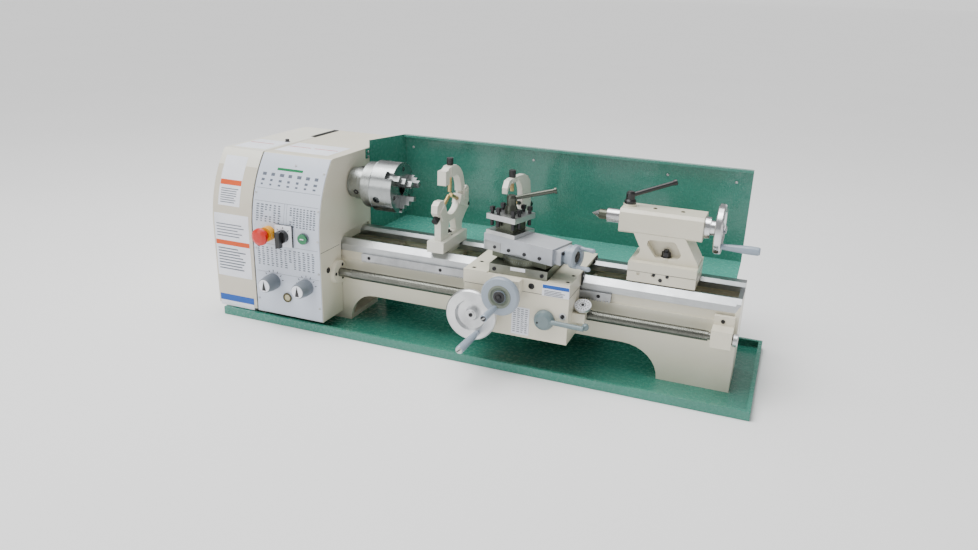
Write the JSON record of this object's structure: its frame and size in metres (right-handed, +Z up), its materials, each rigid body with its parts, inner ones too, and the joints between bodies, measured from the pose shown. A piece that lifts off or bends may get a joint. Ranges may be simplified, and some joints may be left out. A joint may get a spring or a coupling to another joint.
{
  "type": "metal lathe",
  "caption": "Bench metal lathe with chip tray, splash guard, three-jaw chuck, carriage with handwheels, steady and follow rests and tailstock.",
  "frame": {"origin": "underside of the chip tray, at the tray's centre", "axes": "+X along the bed towards the tailstock, +Y away from the operator, +Z up"},
  "size_m": [1.325, 0.5693, 0.438],
  "materials": {
    "tray": "hammered gloss",
    "splash": "hammered gloss",
    "casting": "gloss enamel",
    "rest": "gloss enamel",
    "panel": "smooth satin",
    "steel": "ground",
    "screw": "black oxide",
    "iron": "oiled",
    "chrome": "polished",
    "alu": "turned",
    "brass": "turned",
    "wheel": "satin",
    "grip": "satin",
    "motor": "satin",
    "belt": "matt",
    "black": "satin",
    "red": "gloss",
    "green": "gloss",
    "grey": "satin",
    "sight": "clear",
    "dial": "satin"
  },
  "bodies": {
    "base": {"chip_tray": "tray", "backsplash": "splash", "bed": "casting", "rack": "steel", "cap_screws": "screw", "headstock": "casting", "gearbox_housing": "casting", "control_panel": "panel", "motor": "motor", "leadscrew_flange": "casting", "leadscrew_bracket": "casting", "sight_glass": "sight", "drive_belt": "belt"},
    "cover": {"end_cover": "casting"},
    "spindle": {"spindle": "steel", "spindle_pulley": "alu", "chuck_backplate": "steel", "chuck_body": "steel"},
    "jaw_1": {"chuck_jaw_1": "steel"},
    "jaw_2": {"chuck_jaw_2": "steel"},
    "jaw_3": {"chuck_jaw_3": "steel"},
    "motor_pulley": {"motor_pulley": "alu"},
    "idler": {"idler_gear": "iron"},
    "leadscrew": {"leadscrew": "steel", "leadscrew_gear": "iron"},
    "carriage": {"saddle": "casting", "apron": "casting", "thread_dial_body": "casting", "follow_rest": "rest", "follow_rest_fingers": "brass"},
    "carriage_wheel": {"carriage_handwheel": "alu"},
    "carriage_grip": {"carriage_handle": "grip"},
    "nut_lever": {"half_nut_lever": "wheel"},
    "half_nut": {"half_nut": "brass"},
    "dial": {"thread_dial": "dial"},
    "cross_slide": {"cross_slide": "steel"},
    "cross_wheel": {"cross_handwheel": "wheel"},
    "cross_grip": {"cross_handle": "grip"},
    "swivel": {"swivel_base": "iron"},
    "top_slide": {"top_slide": "steel"},
    "top_wheel": {"top_slide_handwheel": "chrome"},
    "tool_post": {"tool_post": "steel", "tool_post_screws": "screw"},
    "post_lever": {"tool_post_lever": "chrome"},
    "steady_base": {"steady_rest_base": "rest", "steady_rest_fingers": "brass"},
    "steady_arm": {"steady_rest_arm": "rest", "steady_rest_top_finger": "brass"},
    "tailstock": {"tailstock_base": "casting", "tailstock_body": "casting"},
    "quill": {"tailstock_quill": "steel", "dead_center": "iron"},
    "tail_wheel": {"tailstock_handwheel": "chrome"},
    "tail_grip": {"tailstock_handle": "grip"},
    "quill_lever": {"quill_lock_lever": "black"},
    "stop": {"emergency_stop": "red"},
    "start": {"start_button": "green"},
    "switch": {"direction_switch": "black"},
    "knob_left": {"gear_knob_left": "grey"},
    "knob_right": {"gear_knob_right": "grey"}
  },
  "joints": [
    {"name": "spindle_turn", "type": "hinge", "parent": "base", "child": "spindle", "pos_m": [-0.556, -0.02, 0.346], "axis": [1, 0, 0], "continuous": true},
    {"name": "jaw_1_slide", "type": "slide", "parent": "spindle", "child": "jaw_1", "axis": [0, -0.7771, 0.6293], "range_m": [-0.004, 0.008]},
    {"name": "jaw_2_slide", "type": "slide", "parent": "spindle", "child": "jaw_2", "axis": [0, -0.1564, -0.9877], "range_m": [-0.004, 0.008]},
    {"name": "jaw_3_slide", "type": "slide", "parent": "spindle", "child": "jaw_3", "axis": [0, 0.9336, 0.3584], "range_m": [-0.004, 0.008]},
    {"name": "motor_pulley_turn", "type": "hinge", "parent": "base", "child": "motor_pulley", "pos_m": [-0.594, 0.15, 0.115], "axis": [1, 0, 0], "continuous": true},
    {"name": "idler_turn", "type": "hinge", "parent": "base", "child": "idler", "pos_m": [-0.572, -0.03103, 0.22651], "axis": [1, 0, 0], "continuous": true},
    {"name": "leadscrew_turn", "type": "hinge", "parent": "base", "child": "leadscrew", "pos_m": [0, -0.115, 0.138], "axis": [1, 0, 0], "continuous": true},
    {"name": "carriage_wheel_turn", "type": "hinge", "parent": "carriage", "child": "carriage_wheel", "pos_m": [0.045, -0.206, 0.134], "axis": [0, 1, 0], "range_deg": [-1112.4, 1390.5]},
    {"name": "carriage_slide", "type": "slide", "parent": "base", "child": "carriage", "axis": [1, 0, 0], "range_m": [-0.06, 0.075]},
    {"name": "carriage_grip_turn", "type": "hinge", "parent": "carriage_wheel", "child": "carriage_grip", "pos_m": [0.063, -0.25, 0.096], "axis": [0, 1, 0], "continuous": true},
    {"name": "thread_dial_turn", "type": "hinge", "parent": "carriage", "child": "dial", "pos_m": [0.275, -0.133, 0.165], "axis": [0, -0.4226, 0.9063], "range_deg": [-450, 450]},
    {"name": "half_nut_lever_turn", "type": "hinge", "parent": "carriage", "child": "nut_lever", "pos_m": [0.204, -0.182, 0.138], "axis": [0, 1, 0], "range_deg": [0, 40]},
    {"name": "half_nut_slide", "type": "slide", "parent": "carriage", "child": "half_nut", "axis": [0, 0, 1], "range_m": [0, 0.003]},
    {"name": "cross_wheel_turn", "type": "hinge", "parent": "carriage", "child": "cross_wheel", "pos_m": [0.118, -0.222, 0.196], "axis": [0, 1, 0], "range_deg": [-5932.8, 8899.2]},
    {"name": "cross_slide_travel", "type": "slide", "parent": "carriage", "child": "cross_slide", "axis": [0, 1, 0], "range_m": [-0.04, 0.06]},
    {"name": "cross_grip_turn", "type": "hinge", "parent": "cross_wheel", "child": "cross_grip", "pos_m": [0.109, -0.245, 0.17], "axis": [0, 1, 0], "continuous": true},
    {"name": "swivel_turn", "type": "hinge", "parent": "cross_slide", "child": "swivel", "pos_m": [0.135, -0.119, 0.245], "axis": [0, 0, 1], "range_deg": [-45, 45]},
    {"name": "top_wheel_turn", "type": "hinge", "parent": "top_slide", "child": "top_wheel", "pos_m": [0.25035, -0.15208, 0.282], "axis": [0.9613, -0.2756, 0], "range_deg": [-4894.6, 4449.6]},
    {"name": "top_slide_travel", "type": "slide", "parent": "swivel", "child": "top_slide", "axis": [0.9613, -0.2756, 0], "range_m": [-0.033, 0.03]},
    {"name": "tool_post_turn", "type": "hinge", "parent": "top_slide", "child": "tool_post", "pos_m": [0.08982, -0.10605, 0.32], "axis": [0, 0, 1], "continuous": true},
    {"name": "post_lever_turn", "type": "hinge", "parent": "top_slide", "child": "post_lever", "pos_m": [0.08982, -0.10605, 0.36], "axis": [0, 0, 1], "range_deg": [-90, 45]},
    {"name": "steady_slide", "type": "slide", "parent": "base", "child": "steady_base", "axis": [1, 0, 0], "range_m": [-0.045, 0.055]},
    {"name": "steady_arm_turn", "type": "hinge", "parent": "steady_base", "child": "steady_arm", "pos_m": [-0.099, 0.058, 0.34], "axis": [-1, 0, 0], "range_deg": [0, 95]},
    {"name": "tailstock_slide", "type": "slide", "parent": "base", "child": "tailstock", "axis": [1, 0, 0], "range_m": [-0.02, 0.09]},
    {"name": "tail_wheel_turn", "type": "hinge", "parent": "tailstock", "child": "tail_wheel", "pos_m": [0.532, -0.02, 0.346], "axis": [1, 0, 0], "range_deg": [-7119.4, 1186.6]},
    {"name": "quill_slide", "type": "slide", "parent": "tailstock", "child": "quill", "axis": [-1, 0, 0], "range_m": [-0.008, 0.048]},
    {"name": "tail_grip_turn", "type": "hinge", "parent": "tail_wheel", "child": "tail_grip", "pos_m": [0.56, -0.054, 0.318], "axis": [1, 0, 0], "continuous": true},
    {"name": "quill_lever_turn", "type": "hinge", "parent": "tailstock", "child": "quill_lever", "pos_m": [0.336, -0.02, 0.38], "axis": [0, 0, 1], "range_deg": [-60, 30]},
    {"name": "cover_swing", "type": "hinge", "parent": "base", "child": "cover", "pos_m": [-0.5562, 0.24, 0.225], "axis": [0, 0, -1], "range_deg": [0, 100]},
    {"name": "stop_press", "type": "slide", "parent": "base", "child": "stop", "axis": [0, 1, 0], "range_m": [0, 0.004]},
    {"name": "start_press", "type": "slide", "parent": "base", "child": "start", "axis": [0, 1, 0], "range_m": [0, 0.003], "stiffness_N_per_m": 400},
    {"name": "switch_turn", "type": "hinge", "parent": "base", "child": "switch", "pos_m": [-0.46, -0.19, 0.236], "axis": [0, 1, 0], "range_deg": [-45, 45]},
    {"name": "knob_left_turn", "type": "hinge", "parent": "base", "child": "knob_left", "pos_m": [-0.5, -0.19, 0.112], "axis": [0, 1, 0], "range_deg": [-60, 60]},
    {"name": "knob_right_turn", "type": "hinge", "parent": "base", "child": "knob_right", "pos_m": [-0.405, -0.19, 0.112], "axis": [0, 1, 0], "range_deg": [-60, 60]}
  ],
  "couplings": [
    {"joint": "motor_pulley_turn", "follows": "spindle_turn", "ratio": 1.6429},
    {"joint": "idler_turn", "follows": "spindle_turn", "ratio": -0.33333},
    {"joint": "leadscrew_turn", "follows": "spindle_turn", "ratio": 0.9375},
    {"joint": "jaw_2_slide", "follows": "jaw_1_slide", "ratio": 1},
    {"joint": "jaw_3_slide", "follows": "jaw_1_slide", "ratio": 1},
    {"joint": "carriage_wheel_turn", "follows": "carriage_slide", "rad_per_m": 314.16},
    {"joint": "thread_dial_turn", "follows": "carriage_slide", "rad_per_m": -92.7},
    {"joint": "cross_wheel_turn", "follows": "cross_slide_travel", "rad_per_m": 2513.3},
    {"joint": "top_wheel_turn", "follows": "top_slide_travel", "rad_per_m": 2513.3},
    {"joint": "tail_wheel_turn", "follows": "quill_slide", "rad_per_m": -2513.3},
    {"joint": "half_nut_slide", "follows": "half_nut_lever_turn", "m_per_rad": 0.0042968}
  ]
}
